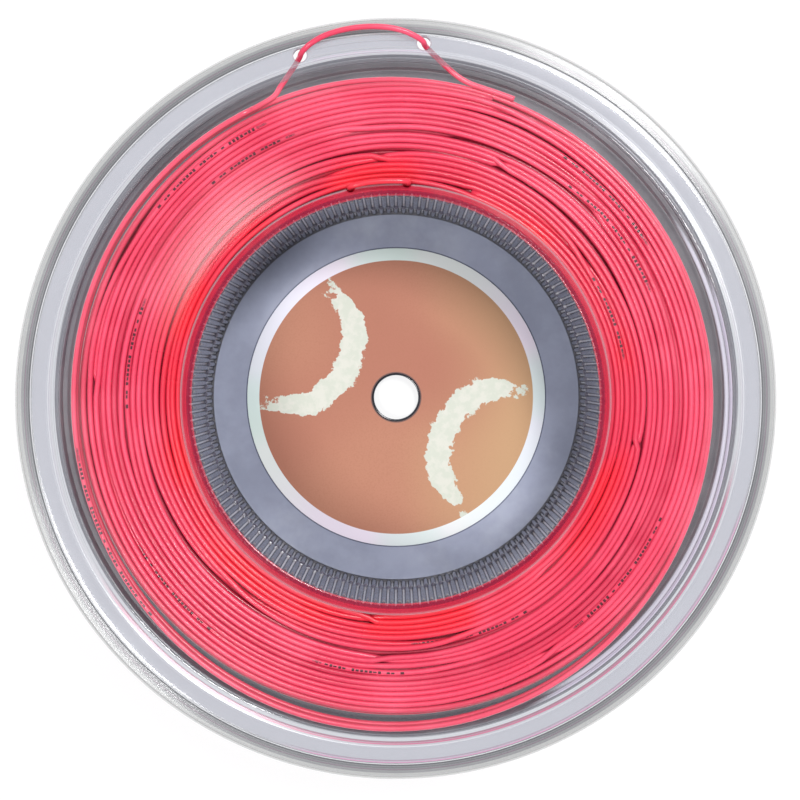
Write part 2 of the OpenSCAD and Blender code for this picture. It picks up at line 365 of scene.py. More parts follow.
def clear_zones(n, zones):
    """The haze's share and colour and the tint let through, ring by ring from the axis outwards."""
    _, tint, haze, shade = zones[0]
    colour, passed = srgb(*shade), srgb(*tint)
    for radius, tint, share, shade in zones[1:]:
        step = n.span(n.r, (radius - 0.15) * MM, (radius + 0.15) * MM)
        haze = n.mix(step, haze, share, "FLOAT")
        colour = n.mix(step, colour, srgb(*shade))
        passed = n.mix(step, passed, srgb(*tint))
    return haze, colour, passed


def clear_lines(n, lines, haze, colour):
    """The haze's share and colour with thin lines of painted light and shade added along the edges."""
    angle = n.angle()
    for radius, half, strength, shade, *stretch in lines:
        away = n.away(n.r, radius * MM)
        line = n.times(n.minus(1.0, n.span(away, half * 0.4 * MM, half * MM)), strength)
        if stretch:
            middle, length = (math.radians(value) for value in stretch)
            line = n.times(line, n.span(n.away(angle, middle), length * 0.8, length, 1.0, 0.0))
        colour = n.mix(line, colour, srgb(*shade))
        haze = n.math("MAXIMUM", haze, line)
    return haze, colour


def clear_gloss(n, smudge):
    """The share of the light that the plastic mirrors, and the shader that mirrors it."""
    # The small roundings of the bore, the step and the lip are worn duller than the plate between them
    bore = n.span(n.r, 44.7 * MM, 45.6 * MM, 0.16, 0.05)
    lip = n.span(n.r, 75.7 * MM, 76.6 * MM, 0.05, 0.34)
    step = n.span(n.away(n.r, 72.7 * MM), 0.5 * MM, 1.0 * MM, 0.24, 0.05)
    worn = n.math("MAXIMUM", n.math("MAXIMUM", lip, bore), step)
    gloss = n.new("ShaderNodeBsdfGlossy", Color=(1, 1, 1, 1), Roughness=worn,
                  Normal=n.bump(smudge, 0.004, 0.0002))
    # Light passes straight through, so the face met from inside would mirror it all at a slant:
    # the face met from outside stands for both, with less weight on the lip and round the bore
    facing = n.new("ShaderNodeFresnel", IOR=PLASTIC_IOR).outputs[0]
    outside = n.minus(1.0, n.new("ShaderNodeNewGeometry").outputs["Backfacing"])
    on_lip = n.span(n.r, 76.3 * MM, 76.7 * MM, 1.75, 0.55)
    on_bore = n.span(n.r, 44.7 * MM, 45.6 * MM, 0.45, 1.0)
    return n.math("MULTIPLY", facing, n.times(outside, on_lip, on_bore), clamp=True), gloss


def clear_material(name, zones, lines):
    """Clear moulded plastic: see-through, with a haze and a gloss.
    zones are [radius, tint let through, haze, haze colour] from the axis outwards;
    lines are [radius, half width, strength, colour] of thin lines of painted light and shade along edges, in
    millimetres, and a line that is only a stretch of the circle adds [middle, half length] in degrees."""
    n = Nodes(name)
    n.measure()
    smudge = n.noise(n.at, 90.0, 4.0, 0.6)
    streak = n.noise(n.new("ShaderNodeMapping", Vector=n.at, Scale=(1, 1, 6)), 34.0, 5.0, 0.65)
    haze, colour, passed = clear_zones(n, zones)
    haze = n.math("MULTIPLY", haze, n.span(smudge, 0.3, 0.7, 0.9, 1.1), clamp=True)
    colour = n.mix(n.span(streak, 0.5, 0.75, 0.0, 0.12), colour, srgb(*WHITE))
    haze, colour = clear_lines(n, lines, haze, colour)
    hazy = n.plastic(colour, n.span(smudge, 0.3, 0.7, 0.14, 0.24), IOR=PLASTIC_IOR)
    clear = n.new("ShaderNodeBsdfTransparent", Color=passed)
    mirrored, gloss = clear_gloss(n, smudge)
    return n.surface(n.mix_shaders(mirrored, n.mix_shaders(haze, clear, hazy), gloss))


def front_flange_material():
    """The front flange: clear over the string, with painted light and shade where its rim bends, and painted
    reflections of the string's colour.
    """
    zones = [
        [0, WHITE, 0.36, (226, 44, 76)],                        # round the bore, the string's red as a painted reflection
        [45.1, WHITE, 0.0, (225, 228, 236)],                    # plate
        [STEP_R, (236, 237, 240), 0.05, (170, 171, 176)],
        [BAND_R, (223, 224, 229), 0.18, (192, 193, 198)],
        [76.5, (204, 205, 206), 0.32, (120, 120, 124)],         # groove and inner side of the lip, grey as painted shade
        [78.4, (222, 223, 222), 0.26, (182, 183, 182)],         # top of the lip, lighter painted shade
        [79.5, (238, 239, 238), 0.12, (220, 221, 220)]]         # outer side of the lip, where the painted shade fades out
    lines = [
        # Round the bore: painted shade, tinted by the string's red
        [43.55, 0.5, 0.7, (92, 22, 52)], [45.15, 0.16, 0.5, (128, 16, 44)],
        # Across the step, from its foot to the band: painted shade and painted highlights, one after the
        # other
        [70.95, 0.14, 0.35, (84, 84, 88)], [71.5, 0.12, 0.3, (232, 233, 237)],
        [72.1, 0.10, 0.28, (110, 110, 116)], [72.6, 0.10, 0.3, (150, 60, 104)],
        [72.85, 0.12, 0.45, (240, 241, 246)],
        # At the top: painted shade on the band between the tie holes and along the lip, and the string's
        # colour as a painted reflection
        [73.7, 0.18, 0.5, (148, 150, 150), 95, 10], [75.3, 0.18, 0.45, (142, 144, 144), 95, 9],
        [77.7, 0.9, 0.42, (112, 114, 114), 98, 62], [72.95, 0.10, 0.45, (222, 150, 206), 94, 11],
        # Across the groove, from the band to the lip: a painted highlight, then painted shade
        [76.5, 0.16, 0.8, (240, 240, 243)], [76.85, 0.14, 0.8, (66, 66, 72)],
        [77.3, 0.12, 0.7, (88, 88, 94)], [77.75, 0.12, 0.6, (124, 74, 108)],
        # Painted reflections of the string's colour in the step and the band, at the bottom and the lower
        # right
        [72.3, 0.24, 0.85, (168, 28, 92), -80, 75], [76.1, 0.2, 0.7, (190, 84, 148), -62, 50],
        # Painted reflections of the string: lilac streaks over the gap beside the pack, at the right
        [69.6, 0.4, 0.5, (204, 188, 212), -15, 50], [70.5, 0.25, 0.6, (196, 176, 206), -22, 46],
        # Thin lines of painted shade along the lip
        [78.35, 0.13, 0.6, (98, 94, 106)], [79.0, 0.11, 0.5, (116, 106, 126)],
        [79.72, 0.12, 0.55, (150, 146, 158)]]
    return clear_material("clear_flange", zones, lines)


def rear_flange_material():
    """The rear flange: a pale blue-grey web under the label, which is the floor's shadow seen through it
    painted in, and a plate under the string painted grey as the shade in the gap.
    """
    label_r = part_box("label")[1][0] / MM
    zones = [
        [0, (40, 42, 48), 0.95, (30, 32, 40)],                  # wall of the spindle bore, dark as painted shade
        [5.75, (150, 156, 174), 0.85, (164, 169, 190)],         # web, pale blue-grey as the floor's painted shadow seen through it
        [42.6, (158, 157, 163), 0.56, (122, 120, 127)],         # plate, step and band, grey as painted shade
        [76.5, (166, 165, 171), 0.55, (130, 127, 135)]]         # groove and lip, grey as painted shade
    lines = [
        [label_r + 0.15, 0.2, 0.8, (84, 88, 110)],              # painted shadow along the label's edge
        # A painted highlight along the band's edge
        [BAND_R, 0.2, 0.5, (190, 190, 194)],
        [76.7, 2.6, 0.6, (66, 58, 76), -98, 52],                # shade along the rim, at the bottom
        [77.6, 2.4, 0.5, (66, 66, 70), 100, 44]]                # and at the top
    return clear_material("clear_flange_rear", zones, lines)


# ---------------------------------------------------------------- flanges
def flange_outline(inner):
    """Cross-section of a flange, outer face up: [r, z over the plate's inner face, corner radius]."""
    foot, top = 207, 450                      # degrees round the lip, by way of its outer side
    plate = [47.4, 50, 54, 58, 62, 66, 69]    # radii of the points along the plate
    lip = [[LIP_R + LIP_HALF * math.cos(a), STEP_H + LIP_HALF * math.sin(a), 0]
           for a in np.radians(np.linspace(foot, top, 17))]
    return rounded(
        inner + [[r, 0, 0] for r in plate]
        + [[STEP_R, 0, 0.6], [BAND_R, STEP_H, 0.5], [GROOVE_R, STEP_H, 0.15], [LIP_FOOT_R, 0.5, 0.15]]
        + lip
        + [[LIP_FOOT_R, 2.1, 0.18], [GROOVE_R, BAND_T, 0.15], [BAND_R, BAND_T, 0.5], [STEP_R, PLATE_T, 0.6]]
        + [[r, PLATE_T, 0] for r in plate[::-1]])


def cutter(name, r, angle, bottom, top, hole_r):
    """A tie hole's cutter, flared at both faces of the plate."""
    flare = 0.22
    wide = hole_r + flare
    ob = lathe(name, [
        [0.001, bottom - 1], [wide + 0.3, bottom - 1], [wide, bottom], [hole_r, bottom + flare],
        [hole_r, top - flare], [wide, top], [wide + 0.3, top + 1], [0.001, top + 1]], 40)
    ob.location = (r * math.cos(math.radians(angle)) * MM, r * math.sin(math.radians(angle)) * MM, 0)
    bpy.context.view_layer.update()
    ob.data.transform(ob.matrix_world)
    ob.matrix_world.identity()
    return ob


def tie_hole_cutters():
    """The cutters of both pairs of tie holes, in the band and beside the hub."""
    cutters = []
    for side in (-1, 1):
        for name, (r, middle, spread), bottom, top, hole_r in (
                ("cut_rim", RIM_TIE, FRONT_IN + STEP_H, FRONT_IN + BAND_T, 1.4),
                ("cut_hub", HUB_TIE, FRONT_IN, FRONT_IN + PLATE_T, 1.0)):
            cutters.append(cutter(name, r, middle + side * spread / 2, bottom, top, hole_r))
    return cutters


def cut(ob, cutters):
    """Cuts the cutters out of a piece, and deletes them."""
    for tool in cutters:
        modifier = ob.modifiers.new("hole", "BOOLEAN")
        modifier.operation = "DIFFERENCE"
        modifier.solver = "EXACT"
        modifier.object = tool
    graph = bpy.context.evaluated_depsgraph_get()
    mesh = bpy.data.meshes.new_from_object(ob.evaluated_get(graph))
    ob.modifiers.clear()
    old = ob.data
    ob.data = mesh
    mesh.name = ob.name
    bpy.data.meshes.remove(old)
    for tool in cutters:
        data = tool.data
        bpy.data.objects.remove(tool)
        bpy.data.meshes.remove(data)


def sharpen(ob, degrees):
    """Smooth shading with the edges over an angle kept sharp."""
    bm = bmesh.new()
    bm.from_mesh(ob.data)
    limit = math.radians(degrees)
    for edge in bm.edges:
        edge.smooth = len(edge.link_faces) == 2 and edge.calc_face_angle(0.0) < limit
    for face in bm.faces:
        face.smooth = True
    bm.to_mesh(ob.data)
    bm.free()


def front_flange():
    """The front flange: open in the middle, with a recess for the sleeve's end, and four tie holes."""
    bore, seat, seat_h = 42.88, 44.4, 0.8
    outline = flange_outline([
        [bore, PLATE_T, 0.3], [bore, seat_h, 0.1], [seat, seat_h, 0.05], [seat, 0, 0.15]])
    ob = lathe("flange_front", [[r, FRONT_IN + z] for r, z in outline], FLANGE_STEPS)
    cut(ob, tie_hole_cutters())
    sharpen(ob, 30)
    return ob


def rear_flange():
    """The rear flange: closed in the middle by a web thicker than the plate, with the spindle bore."""
    web_h = -0.4
    outline = flange_outline([
        [BORE_R, PLATE_T, 0.3], [BORE_R, web_h, 0.25], [WEB_R, web_h, 0.1], [WEB_R, 0, 0.05]])
    ob = lathe("flange_rear", [[r, REAR_IN - z] for r, z in outline[::-1]], FLANGE_STEPS)
    sharpen(ob, 30)
    return ob


# ---------------------------------------------------------------- hub sleeves
def hub_material(name):
    """Clear plastic of the ribbed sleeves, painted dark grey as painted shade: painted highlights along the
    rib middles, painted shade at their sides, a painted light line in the gap between each two, painted
    glints at the seam, and the string's red painted into the wall behind, as it shows through."""
    n = Nodes(name)
    n.measure()
    slow = n.noise(n.at, 420.0)
    # across is 0 in the middle of a rib and 0.5 in the middle of a gap; the front ribs are half a rib on
    turn = n.times(n.angle(), RIBS / (2 * math.pi))
    half = n.times(n.math("GREATER_THAN", n.z, SEAM_Z * MM), 0.5)
    across = n.away(n.math("FRACT", n.plus(turn, half)), 0.5)
    # Dark grey all over as painted shade, with slow random changes
    colour = n.mix(n.span(slow, 0.35, 0.65), srgb(68, 66, 82), srgb(80, 77, 94))
    # A painted highlight along each rib's middle, and painted shade at its sides
    colour = n.mix(n.span(across, 0.0, 0.2, 0.2, 0.0), colour, srgb(150, 150, 166))
    colour = n.mix(n.span(across, 0.26, 0.36, 0.0, 0.6), colour, srgb(34, 33, 42))
    # A painted light line in the gap between each two ribs, brighter in places
    lit = n.span(n.noise(n.at, 30.0, 1.0), 0.36, 0.58, 0.6, 1.0)
    colour = n.mix(n.times(n.span(across, 0.385, 0.425), lit), colour, srgb(236, 238, 248))
    # Painted glints on the ribs beside the seam
    near_seam = n.span(n.away(n.z, (SEAM_Z + 1.1) * MM), 0.7 * MM, 1.0 * MM, 1.0, 0.0)
    glint = n.times(near_seam, n.span(across, 0.08, 0.16, 0.85, 0.0))
    colour = n.mix(glint, colour, srgb(226, 228, 238))
    # The string's red painted into the wall behind the ribs, as it shows through the clear plastic
    colour = n.mix(n.span(n.r, 43.35 * MM, 43.6 * MM), colour, srgb(150, 22, 54))
    return n.surface(n.plastic(colour, n.span(slow, 0.3, 0.7, 0.16, 0.26), IOR=PLASTIC_IOR,
                               Coat_Weight=0.4, Coat_Roughness=0.05))


def sleeve_back(z0, z1, collar):
    """The side of a sleeve under the string, as [r, z] from its upper end to its lower end.
    A collar is (low, high), and laps over the seam."""
    wall = 44.3
    if collar is None:
        return [[wall - 0.15, z1], [wall, z1 - 0.15], [wall, z0 + 0.15], [wall - 0.15, z0]]
    low, high = collar
    return [
        [wall + 0.1, z1], [wall + 0.1, high - 0.1], [wall + 0.2, high], [wall + 0.6, high],
        [wall + 0.7, high - 0.1], [wall + 0.7, low + 0.6], [wall, low], [wall, z0 + 0.2]]


def ribbed_sleeve(name, z0, z1, phase, collar=None):
    """A sleeve with round ribs along its inner wall; the ribs end in round noses."""
    per_rib = 10       # steps round for each rib and its gap
    groove = 43.3      # radius of the inner wall between the ribs
    rib = 0.62         # radius of a rib, and of its noses
    heights = np.concatenate([
        z0 + rib * (1 - np.cos(np.linspace(0, np.pi / 2, 5))),
        np.linspace(z0 + rib, z1 - rib, 5)[1:-1],
        z1 - rib * (1 - np.cos(np.linspace(np.pi / 2, 0, 5))),
    ])
    steps = RIBS * per_rib
    turn = np.arange(steps) * 2 * np.pi / steps + math.radians(phase)
    local = (np.arange(steps) % per_rib - per_rib / 2) / (per_rib / 2)   # -1 to 1 over a rib and its gap
    arc = local * np.pi * groove / RIBS                                  # millimetres from the rib's middle
    high = np.sqrt(np.clip(rib ** 2 - arc ** 2, 0, None))
    from_end = np.minimum(heights - z0, z1 - heights)
    nose = np.sqrt(np.clip(1 - (1 - np.clip(from_end / rib, 0, 1)) ** 2, 0, 1))
    inner = groove - high[None, :] * nose[:, None]
    rows = [around(radii, turn, z) for radii, z in zip(inner, heights)]
    rows += [around(r, turn, z) for r, z in sleeve_back(z0, z1, collar)]
    ob = mesh_object(name, np.concatenate(rows), closed_quads(len(rows), steps))
    sharpen(ob, 60)
    return ob


# ---------------------------------------------------------------- label
def brush_arcs(n, mm_x, mm_y, wobble):
    """Where the paint of two tilted arcs lies, which turn their backs to the middle of the label."""
    tilt = math.radians(-28)
    centre, arc_r = 31.0, 17.5     # how far out an arc's centre lies, and the arc's own radius
    half, soft = 2.8, 3.1          # half of its width, with a soft edge up to the second number
    rough = 4.6                    # how ragged its edge is
    along = n.plus(n.times(mm_x, math.cos(tilt)), n.times(mm_y, math.sin(tilt)))
    across = n.minus(n.times(mm_y, math.cos(tilt)), n.times(mm_x, math.sin(tilt)))
    beside = n.minus(n.math("ABSOLUTE", along), centre)
    from_centre = n.math("SQRT", n.plus(n.times(beside, beside), n.times(across, across)))
    ragged = n.plus(n.away(from_centre, arc_r), n.times(n.minus(wobble, 0.5), rough))
    past_end = n.span(n.math("ABSOLUTE", across), 13.0, 16.5, 0.0, 3.0, "LINEAR")
    return n.minus(1.0, n.span(n.plus(ragged, past_end), half, soft))


def pearly_border(n):
    """A pale colour whose tints change slowly round the circle."""
    angle = n.angle()
    pearl = srgb(224, 228, 226)
    for waves, shift, start, strength, tint in (
            (3.0, 0.8, -1.0, 1.0, (232, 220, 234)),
            (2.0, 2.4, 0.0, 0.6, (216, 222, 232)),
            (4.0, 1.2, 0.3, 0.55, (200, 224, 214))):
        wave = n.math("SINE", n.plus(n.times(angle, waves), shift))
        pearl = n.mix(n.span(wave, start, 1.0, 0.0, strength), pearl, srgb(*tint))
    return pearl


def label_material(name):
    """Pearly film with a matt metallic disc, a painted sheen on its right, and two broad brush arcs."""
    n = Nodes(name)
    n.measure()
    mm_x, mm_y = n.math("DIVIDE", n.x, MM), n.math("DIVIDE", n.y, MM)
    grain = n.noise(n.at, 2600.0)
    broad = n.noise(n.at, 22.0, 1.0)
    wobble = n.noise(n.at, 420.0, 3.0, 0.65)
    disc = n.mix(n.span(broad, 0.35, 0.65), srgb(168, 108, 88), srgb(177, 121, 97))
    disc = n.mix(n.times(n.span(grain, 0.4, 0.75), 0.3), disc, srgb(160, 104, 80))
    # Painted sheen: the disc turns yellower towards the right, along a wavering edge
    painted_sheen_x = n.plus(mm_x, n.times(n.minus(broad, 0.5), 30.0))
    disc = n.mix(n.span(painted_sheen_x, 2.0, 30.0, 0.0, 0.6), disc, srgb(194, 162, 118))
    arc = brush_arcs(n, mm_x, mm_y, wobble)
    paint = n.mix(n.span(wobble, 0.4, 0.6), srgb(198, 204, 192), srgb(208, 210, 200))
    disc = n.mix(n.times(arc, 0.93), disc, paint)
    border = n.span(n.r, 31.85 * MM, 31.95 * MM)
    colour = n.mix(border, disc, pearly_border(n))
    colour = n.mix(n.span(n.r, 5.8 * MM, 6.0 * MM, 0.8, 0.0), colour, srgb(70, 62, 66))
    metal = n.times(n.times(n.minus(1.0, border), n.minus(1.0, arc)), 0.06)
    return n.surface(n.plastic(colour, n.span(border, 0.0, 1.0, 0.72, 0.28), Metallic=metal,
                               Normal=n.bump(grain, 0.15, 0.00005)))


# ---------------------------------------------------------------- string: materials and random values
def printed_bars(n):
    """Where the string carries dark print: plain bars of chance length and width, one to a cell."""
    cell_length = 0.95     # millimetres along the string
    spaces = 0.22          # share of the cells that stay bare
    strength = 0.95
    ink = n.attribute("ink")
    cell = n.math("DIVIDE", ink, cell_length)
    chance = n.new("ShaderNodeTexWhiteNoise", noise_dimensions="1D", W=n.math("FLOOR", cell)).outputs["Value"]
    bar = n.math("LESS_THAN", n.math("FRACT", cell), n.span(chance, 0.0, 1.0, 0.5, 0.82, "LINEAR"))
    on_top = n.math("GREATER_THAN", n.attribute("up"), n.span(chance, 0.0, 1.0, 0.72, 0.9, "LINEAR"))
    inside = n.math("GREATER_THAN", ink, 0.0)
    no_space = n.math("GREATER_THAN", chance, spaces)
    return n.times(bar, on_top, inside, no_space, strength)


def string_material(name):
    """Gloss plastic with slow changes of colour, painted redder near the hub where the flange mirrors no
    bright light, painted shade on the deeper layers, and dark print.
    """
    n = Nodes(name)
    n.measure()
    slow = n.noise(n.at, 55.0)
    fine = n.noise(n.at, 900.0, 3.0)
    dark = srgb(186, 34, 66)
    colour = n.mix(n.times(n.attribute("tone"), 0.75), srgb(229, 70, 101), dark)
    colour = n.mix(n.span(slow, 0.42, 0.68, 0.0, 0.35), colour, srgb(244, 102, 130))
    colour = n.mix(n.times(n.span(fine, 0.45, 0.7), 0.10), colour, dark)
    # Painted: redder patches near the hub, the string without the flange's mirrored light
    patch = n.span(n.noise(n.at, 38.0, 1.0), 0.42, 0.6, 0.25, 0.9)
    near_hub = n.times(n.span(n.r, 47.5 * MM, 55.0 * MM, 1.0, 0.0), patch)
    colour = n.mix(near_hub, colour, srgb(232, 38, 54))
    # Painted shade on the deeper layers, which show between the turns nearest the flange
    colour = n.mix(n.attribute("deep"), colour, srgb(92, 3, 20))
    colour = n.mix(printed_bars(n), colour, srgb(46, 8, 20))
    return n.surface(n.plastic(colour, n.span(slow, 0.3, 0.7, 0.27, 0.40), IOR=1.5, Coat_Weight=0.15,
                               Coat_Roughness=0.12, Normal=n.bump(fine, 0.06, 0.0001)))


def core_material(name):
    """The filling under the single strands: red turns one over the other, darker than the string as painted
    shade, with painted shade between them.
    """
    pitch = 1.21
    n = Nodes(name)
    n.measure()
    from_edge = n.away(n.math("FRACT", n.math("DIVIDE", n.z, pitch * MM)), 0.5)
    # Painted shade between the turns
    colour = n.mix(n.span(from_edge, 0.1, 0.5), srgb(168, 26, 54), srgb(70, 6, 20))
    return n.surface(n.plastic(colour, 0.4))


def smooth_noise(rng, count, spacing):
    """Smooth random values along a number of steps, one knot every spacing steps, of about unit spread."""
    knots = rng.normal(size=int(count / spacing) + 4)
    t = np.arange(count) / spacing
    i = t.astype(int)
    share = t - i
    share = share * share * (3 - 2 * share)
    return knots[i] * (1 - share) + knots[i + 1] * share


# ---------------------------------------------------------------- string: the turns on the faces
def laid_layer(rng, turns, steps, layer):
    """Radius and height of a layer's points before the turns push each other.
    Layer 0 is next to the flange."""
    wander = 1.15      # how far a turn strays from its place
    depth = 1.04       # how much further in each layer lies
    slack = 0.06       # and a little more, so that the layers start clear
    count = turns * steps
    start = WOUND_R + STRING_R
    radius = start + (FACE_R - start) * (np.arange(count) / count)
    slow = smooth_noise(rng, count, steps / 2.3) * 0.7
    quick = smooth_noise(rng, count, steps / 5.7) * 0.22
    dip = 0.55 * np.abs(smooth_noise(rng, count, steps / 2.9))
    return radius + wander * (slow + quick), FACE_TOP - depth * layer - dip - slack * layer


def push_apart(radius, height, one, two):
    """Moves the turns of each pair apart where they overlap, in place."""
    share = 0.6        # of the way in one round
    across, over = radius[two] - radius[one], height[two] - height[one]
    distance = np.sqrt(across * across + over * over) + 1e-6
    half_overlap = np.clip(2 * STRING_R - distance, 0, None) * 0.5
    for grid, way in ((radius, across), (height, over)):
        push = half_overlap * way / distance
        np.add.at(grid, two, push * share)
        np.add.at(grid, one, -push * share)


def smooth_along(grid, ends):
    """Evens the values along each layer's string, in place."""
    for line in np.split(grid.reshape(-1), ends):
        mid = line.copy()
        mid[1:-1] = (line[:-2] + 2 * line[1:-1] + line[2:]) / 4
        mid[2:-2] = 0.5 * mid[2:-2] + 0.25 * (mid[:-4] + mid[4:])
        line[:] = mid


def face_strands(layers, steps, seed):
    """Strings as they lie against a flange: spirals in layers, pushed apart where they meet.
    Returns the radii and the heights along each layer; a height grows towards the flange."""
    rounds, smoothed = 36, 30      # rounds of pushing, of which the first ones smooth too
    can_meet = 4.5                 # turns that lie further apart than this never touch
    settle = 0.03                  # share of the way back to its own height in each round
    rng = np.random.RandomState(seed)
    laid = [laid_layer(rng, turns, steps, layer) for layer, turns in enumerate(layers)]
    ends = np.cumsum([len(r) for r, _ in laid])[:-1]
    radius = np.concatenate([r for r, _ in laid]).reshape(-1, steps)
    wanted = np.concatenate([z for _, z in laid]).reshape(-1, steps)
    height = wanted.copy()
    one, two = np.triu_indices(len(radius), 1)
    near = np.abs(radius.mean(1)[one] - radius.mean(1)[two]) < can_meet
    one, two = one[near], two[near]
    for step in range(rounds):
        push_apart(radius, height, one, two)
        height += settle * (wanted - height)
        radius = np.clip(radius, WOUND_R + STRING_R, FACE_R)
        height = np.minimum(height, FACE_TOP)
        if step < smoothed:
            smooth_along(radius, ends)
            smooth_along(height, ends)
    return list(zip(np.split(radius.reshape(-1), ends), np.split(height.reshape(-1), ends)))


def spiral(radius, height, steps, start):
    """Points of a clockwise spiral from an angle in degrees, with a number of steps a turn."""
    return around(radius, math.radians(start) - np.arange(len(radius)) * 2 * np.pi / steps, height)


def print_marks(radius, steps, windows):
    """Distance along the string in millimetres inside each printed window, and -1 outside.
    A window is (turn, degrees into the turn, length in millimetres)."""
    at_start = 0.2     # over 0, so that the first point counts as printed
    ink = np.full(len(radius), -1.0)
    for turn, start, length in windows:
        first = int((turn + start / 360) * steps)
        step = 2 * np.pi * np.mean(radius[first:first + 5]) / steps
        last = min(first + int(length / step), len(radius))
        ink[first:last] = at_start + np.arange(last - first) * step
    return ink


def front_face(rng):
    """The turns against the front flange, in three layers of which the first has print."""
    windows = [(3, 40, 20), (6, 130, 26), (9, 250, 24), (11, 20, 30), (12, 300, 22), (14, 95, 30),
               (15, 15, 26), (16, 200, 24), (17, 290, 30), (10, 160, 20)]
    shades = (0.0, 0.5, 0.85)      # painted shade of each layer, darker deeper in
    face = Strands()
    for layer, (radius, height) in enumerate(face_strands([19, 19, 18], FRONT_STEPS, 11)):
        path = spiral(radius, height, FRONT_STEPS, 70 + 35 * layer)
        tone = 0.5 + 0.35 * smooth_noise(rng, len(radius), FRONT_STEPS / 1.3)
        ink = print_marks(radius, FRONT_STEPS, windows) if layer == 0 else None
        face.add(path, np.clip(tone, 0, 1), ink, shades[layer])
    return face.build("string_front_face")


def rear_face(rng):
    """The turns against the rear flange, in two layers without print."""
    # Painted shade of each layer, darker deeper in
    shades = (0.0, 0.4)
    face = Strands()
    for layer, (radius, height) in enumerate(face_strands([19, 18], REAR_STEPS, 29)):
        path = spiral(radius, (REAR_IN + FRONT_IN) - height, REAR_STEPS, 200 + 50 * layer)
        tone = 0.5 + 0.35 * smooth_noise(rng, len(radius), 90)
        face.add(path, np.clip(tone, 0, 1), deep=shades[layer])
    return face.build("string_rear_face")


# ---------------------------------------------------------------- string: the outer layer and the core
def loose_at(angle):
    """How far the last turns stand off the pack, by direction in degrees."""
    def hump(centre, half):
        away = np.clip(((angle - centre + 180) % 360 - 180) / half, -1, 1)
        return np.cos(np.pi / 2 * away) ** 2
    return 3.2 * hump(265, 95) + 1.6 * hump(140, 120)


def outer_layer(rng):
    """The helix of outermost turns, whose last two stand loose, and the path along its middle."""
    start = 116                        # degrees, where the first turn starts
    first_z, last_z = 3.565, 37.435
    count = OUTER_TURNS * OUTER_STEPS + 1
    turned = np.arange(count) / OUTER_STEPS
    left = OUTER_TURNS - turned        # turns still to come
    angle = start - 360 * turned
    radius = TURN_R + 0.12 * smooth_noise(rng, count, 40) - 0.1
    # The very last stretch stands off the pack, and the turn before it a little less
    radius = radius + loose_at(angle) * np.select([left < 0.7, left < 1.7], [1.0, 0.8], 0.0)
    height = first_z + (last_z - first_z) * turned / OUTER_TURNS
    height = height + 0.05 * smooth_noise(rng, count, 30) * (left > 0.3)
    path = around(radius, np.radians(angle), height)
    tone = 0.5 + 0.3 * smooth_noise(rng, count, OUTER_STEPS)
    ink = print_marks(radius, OUTER_STEPS, [
        (26, 60, 34), (27, 255, 40), (20, 10, 30), (15, 200, 30), (9, 120, 30), (4, 300, 30)])
    layer = Strands()
    layer.add(path, np.clip(tone, 0, 1), ink)
    return layer.build("string_outer_layer"), path


def string_core():
    """The filling between the two faces and the outer layer."""
    return lathe("string_core", rounded([
        [45.2, 4.6, 0.5], [65.3, 4.6, 0.5], [66.0, 5.4, 0.4],
        [66.0, 35.2, 0.4], [65.3, 36.0, 0.5], [45.2, 36.0, 0.5]]), 144)


# ---------------------------------------------------------------- string: the tied ends
# Steps of each end: [direction, distance, height].
# A direction is a share of half the angle between the holes, from their middle.
# A distance is -1 at the end of the outer layer, 0 on the circle of the holes, and millimetres beyond it.
# A height below 0 is millimetres under the plate, 0 to 1 is a share of its thickness, and what it has
# over 1 is millimetres over the plate.
TAIL = [
    [1.64, -0.91, -1], [1.48, -0.7, -0.9], [1.31, -0.46, -0.8], [1.16, -0.24, -0.4],
    [1.06, -0.09, 0.15], [1.01, -0.02, 0.54], [0.98, 0.2, 0.96], [0.91, 0.7, 2],
    [0.77, 1.5, 2.7], [0.54, 2.4, 2.9], [0.24, 2.9, 3], [-0.07, 3, 3],
    [-0.39, 2.7, 3], [-0.66, 2, 2.8], [-0.87, 1, 2.3], [-0.98, 0.3, 1.4],
    [-1.01, -0.01, 0.73], [-1.03, -0.04, 0.35], [-1.1, -0.14, 0], [-1.24, -0.34, -0.6],
    [-1.42, -0.58, -1], [-1.62, -0.81, -1.2], [-1.85, -0.96, -1.3], [-2.12, -1.01, -1.3],
    [-2.41, -1.02, -1.3], [-2.7, -1.02, -1.3]]
START = [
    [1.02, 0, -0.1], [1.02, 0, 0.75], [1.02, 0, 1.6], [0.93, 0, 2.4],
    [0.75, 0, 2.8], [0.37, 0.1, 2.9], [-0.03, 0.1, 2.9], [-0.43, 0.1, 2.8],
    [-0.8, 0.1, 2.6], [-0.98, 0.1, 2.1], [-1.04, 0, 1.3], [-1.04, 0, 0.62],
    [-1.04, 0, -0.1]]


def step_z(height, plate):
    """A step's height over the reel's base; plate is the thickness that it passes."""
    if height < 0:
        return FRONT_IN + height
    return FRONT_IN + (plate + height - 1 if height > 1 else height * plate)


def tied(steps, holes, plate, end_r):
    """Points of a route through a pair of tie holes; end_r is the radius where the outer layer ends."""
    r, middle, spread = holes
    out = []
    for direction, distance, height in steps:
        reach = r + (distance * (r - end_r) if distance < 0 else distance)
        angle = math.radians(middle + direction * spread / 2)
        out.append([reach * math.cos(angle), reach * math.sin(angle), step_z(height, plate)])
    return out


def spline(points, per):
    """A smooth curve through the points, with a number of steps between each two."""
    p = np.asarray(points, float)
    p = np.vstack([2 * p[0] - p[1], p, 2 * p[-1] - p[-2]])
    out = []
    for i in range(1, len(p) - 2):
        a, b, c, d = p[i - 1:i + 3]
        for t in np.arange(per) / per:
            out.append(0.5 * (2 * b + (c - a) * t + (2 * a - 5 * b + 4 * c - d) * t * t
                              + (3 * b - a - 3 * c + d) * t ** 3))
    out.append(p[-2])
    return np.array(out)


